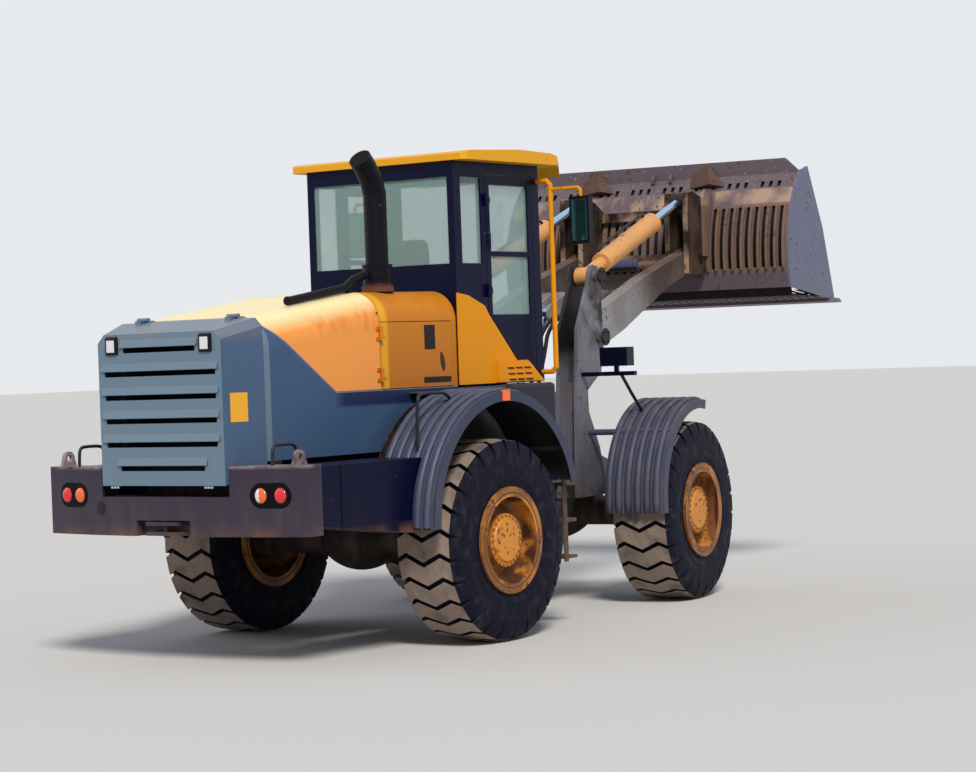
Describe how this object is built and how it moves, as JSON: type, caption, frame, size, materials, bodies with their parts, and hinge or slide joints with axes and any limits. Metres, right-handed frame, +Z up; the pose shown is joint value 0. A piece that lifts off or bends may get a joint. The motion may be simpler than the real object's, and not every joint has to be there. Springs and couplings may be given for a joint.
{
  "type": "articulated wheel loader",
  "caption": "Articulated wheel loader with a hollow cab, opening engine covers, boom arms on a tall front tower and a wide slatted bucket.",
  "frame": {"origin": "middle of the machine's box on the ground, with the front frame steered and the boom part raised as stored", "axes": "+Y forward along the rear frame, +X to the machine's right, +Z up"},
  "size_m": [3.5053, 8.7913, 3.8248],
  "materials": {
    "dark_frame_paint": "worn satin paint",
    "navy_paint": "satin paint",
    "yellow_paint": "faded satin paint",
    "blue_grey_paint": "dusty satin paint",
    "engine_iron": "oily cast iron",
    "cab_glass": "tinted safety glass",
    "black_plastic": "matt",
    "seat_fabric": "woven cloth",
    "black_steel": "heat-dulled paint",
    "lamp_lens": "ribbed lens",
    "worn_boom_paint": "worn and dusty",
    "bucket_steel": "scratched bare steel and rust",
    "yellow_cylinder_paint": "faded satin paint",
    "chrome_rod": "polished",
    "tyre_rubber": "dusty rubber",
    "rim_paint": "worn paint with rust"
  },
  "bodies": {
    "rear_frame": {"rear_chassis": "dark_frame_paint", "rear_axle": "dark_frame_paint", "engine_block": "engine_iron", "radiator": "engine_iron", "hood": "yellow_paint", "counterweight": "dark_frame_paint", "side_boxes": "dark_frame_paint", "rear_fenders": "blue_grey_paint", "cab_base": "dark_frame_paint", "cab_frame": "navy_paint", "cab_glass": "cab_glass", "roof": "yellow_paint", "shoulder_panels": "yellow_paint", "seat": "seat_fabric", "steering_column": "black_plastic", "exhaust_stack": "black_steel", "intake_pipe": "black_steel", "handrails": "yellow_paint", "mirrors": "black_plastic", "ladders": "dark_frame_paint", "rear_lamps": "lamp_lens"},
    "grille": {"grille_door": "blue_grey_paint"},
    "right_engine_door": {"engine_door_right": "yellow_paint"},
    "left_engine_door": {"engine_door_left": "yellow_paint"},
    "right_cab_door": {"cab_door_right": "navy_paint", "door_glass_right": "cab_glass"},
    "left_cab_door": {"cab_door_left": "navy_paint", "door_glass_left": "cab_glass"},
    "front_frame": {"front_chassis": "blue_grey_paint", "front_axle": "dark_frame_paint", "front_fenders": "blue_grey_paint", "headlamps": "black_plastic"},
    "boom_arms": {"boom": "worn_boom_paint"},
    "coupler_pins": {"tip_pins": "chrome_rod"},
    "bucket_and_coupler": {"coupler": "worn_boom_paint", "bucket": "bucket_steel"},
    "lift_barrel_pair": {"lift_barrels": "yellow_cylinder_paint"},
    "lift_rod_pair": {"lift_rods": "chrome_rod"},
    "tilt_barrel_pair": {"tilt_barrels": "yellow_cylinder_paint"},
    "tilt_rod_pair": {"tilt_rods": "chrome_rod"},
    "rear_right_wheel": {"rear_right_tyre": "tyre_rubber", "rear_right_rim": "rim_paint"},
    "rear_left_wheel": {"rear_left_tyre": "tyre_rubber", "rear_left_rim": "rim_paint"},
    "front_right_wheel": {"front_right_tyre": "tyre_rubber", "front_right_rim": "rim_paint"},
    "front_left_wheel": {"front_left_tyre": "tyre_rubber", "front_left_rim": "rim_paint"},
    "steer_barrel_right_body": {"steer_barrel_right": "yellow_cylinder_paint"},
    "steer_rod_right_body": {"steer_rod_right": "chrome_rod"},
    "steer_barrel_left_body": {"steer_barrel_left": "yellow_cylinder_paint"},
    "steer_rod_left_body": {"steer_rod_left": "chrome_rod"}
  },
  "joints": [
    {"name": "steering", "type": "hinge", "parent": "rear_frame", "child": "front_frame", "pos_m": [0.34, -0.68, 0.6], "axis": [0, 0, 1], "range_deg": [-45.76, 30.24]},
    {"name": "rear_right_wheel_spin", "type": "hinge", "parent": "rear_frame", "child": "rear_right_wheel", "pos_m": [1.466, -2.16, 0.745], "axis": [1, 0, 0], "continuous": true},
    {"name": "rear_left_wheel_spin", "type": "hinge", "parent": "rear_frame", "child": "rear_left_wheel", "pos_m": [-0.786, -2.16, 0.745], "axis": [1, 0, 0], "continuous": true},
    {"name": "front_right_wheel_spin", "type": "hinge", "parent": "front_frame", "child": "front_right_wheel", "pos_m": [1.25585, 0.93848, 0.745], "axis": [0.9908, 0.135, 0], "continuous": true},
    {"name": "front_left_wheel_spin", "type": "hinge", "parent": "front_frame", "child": "front_left_wheel", "pos_m": [-0.97552, 0.63441, 0.745], "axis": [0.9908, 0.135, 0], "continuous": true},
    {"name": "boom_lift", "type": "hinge", "parent": "front_frame", "child": "boom_arms", "pos_m": [0.18337, 0.46938, 2.22], "axis": [0.9908, 0.135, 0], "range_deg": [-69, 27]},
    {"name": "coupler_levelling", "type": "hinge", "parent": "boom_arms", "child": "coupler_pins", "pos_m": [-0.11908, 2.68886, 2.92], "axis": [-0.9908, -0.135, 0], "range_deg": [-70, 28]},
    {"name": "bucket_tilt", "type": "hinge", "parent": "coupler_pins", "child": "bucket_and_coupler", "pos_m": [-0.11908, 2.68886, 2.92], "axis": [-0.9908, -0.135, 0], "range_deg": [-45, 50]},
    {"name": "lift_barrel_swing", "type": "hinge", "parent": "front_frame", "child": "lift_barrel_pair", "pos_m": [0.27249, -0.18458, 0.85], "axis": [0.9908, 0.135, 0], "range_deg": [-17.82, 7.58]},
    {"name": "lift_rod_slide", "type": "slide", "parent": "lift_barrel_pair", "child": "lift_rod_pair", "axis": [-0.0882, 0.6475, 0.7569], "range_m": [-0.6722, 0.2661]},
    {"name": "tilt_barrel_swing", "type": "hinge", "parent": "front_frame", "child": "tilt_barrel_pair", "pos_m": [0.18877, 0.42974, 2.73], "axis": [0.9908, 0.135, 0], "range_deg": [-72.07, 28.81]},
    {"name": "tilt_rod_slide", "type": "slide", "parent": "tilt_barrel_pair", "child": "tilt_rod_pair", "axis": [-0.1279, 0.9386, 0.3203], "range_m": [-0.4055, 0.45]},
    {"name": "steer_barrel_right_swing", "type": "hinge", "parent": "rear_frame", "child": "steer_barrel_right_body", "pos_m": [0.795, -1.45, 0.905], "axis": [0, 0, 1], "range_deg": [-18.34, 12.46]},
    {"name": "steer_rod_right_slide", "type": "slide", "parent": "steer_barrel_right_body", "child": "steer_rod_right_body", "axis": [-0.0496, 0.9988, 0], "range_m": [-0.379, 0.2522]},
    {"name": "steer_barrel_left_swing", "type": "hinge", "parent": "rear_frame", "child": "steer_barrel_left_body", "pos_m": [-0.115, -1.45, 0.905], "axis": [0, 0, 1], "range_deg": [-18.77, 12.74]},
    {"name": "steer_rod_left_slide", "type": "slide", "parent": "steer_barrel_left_body", "child": "steer_rod_left_body", "axis": [-0.056, 0.9984, 0], "range_m": [-0.2353, 0.3535]},
    {"name": "cab_door_right_swing", "type": "hinge", "parent": "rear_frame", "child": "right_cab_door", "pos_m": [1.068, -1.388, 1.96], "axis": [0, 0, -1], "range_deg": [0, 100]},
    {"name": "engine_door_right_swing", "type": "hinge", "parent": "rear_frame", "child": "right_engine_door", "pos_m": [1.058, -2.758, 1.43], "axis": [0, 0, -1], "range_deg": [0, 90]},
    {"name": "cab_door_left_swing", "type": "hinge", "parent": "rear_frame", "child": "left_cab_door", "pos_m": [-0.388, -1.388, 1.96], "axis": [0, 0, 1], "range_deg": [0, 100]},
    {"name": "engine_door_left_swing", "type": "hinge", "parent": "rear_frame", "child": "left_engine_door", "pos_m": [-0.378, -2.758, 1.43], "axis": [0, 0, 1], "range_deg": [0, 90]},
    {"name": "grille_swing", "type": "hinge", "parent": "rear_frame", "child": "grille", "pos_m": [0.34, -4.0425, 2.438], "axis": [-1, 0, 0], "range_deg": [0, 75]}
  ],
  "couplings": [
    {"joint": "coupler_levelling", "follows": "boom_lift", "ratio": 1},
    {"joint": "lift_barrel_swing", "follows": "boom_lift", "ratio": 0.24377},
    {"joint": "lift_rod_slide", "follows": "boom_lift", "m_per_rad": 0.55404},
    {"joint": "tilt_barrel_swing", "follows": "boom_lift", "ratio": 1.03},
    {"joint": "tilt_rod_slide", "follows": "bucket_tilt", "m_per_rad": 0.50989},
    {"joint": "steer_barrel_right_swing", "follows": "steering", "ratio": 0.37893},
    {"joint": "steer_rod_right_slide", "follows": "steering", "m_per_rad": 0.46828},
    {"joint": "steer_barrel_left_swing", "follows": "steering", "ratio": 0.38841},
    {"joint": "steer_rod_left_slide", "follows": "steering", "m_per_rad": -0.43629}
  ]
}
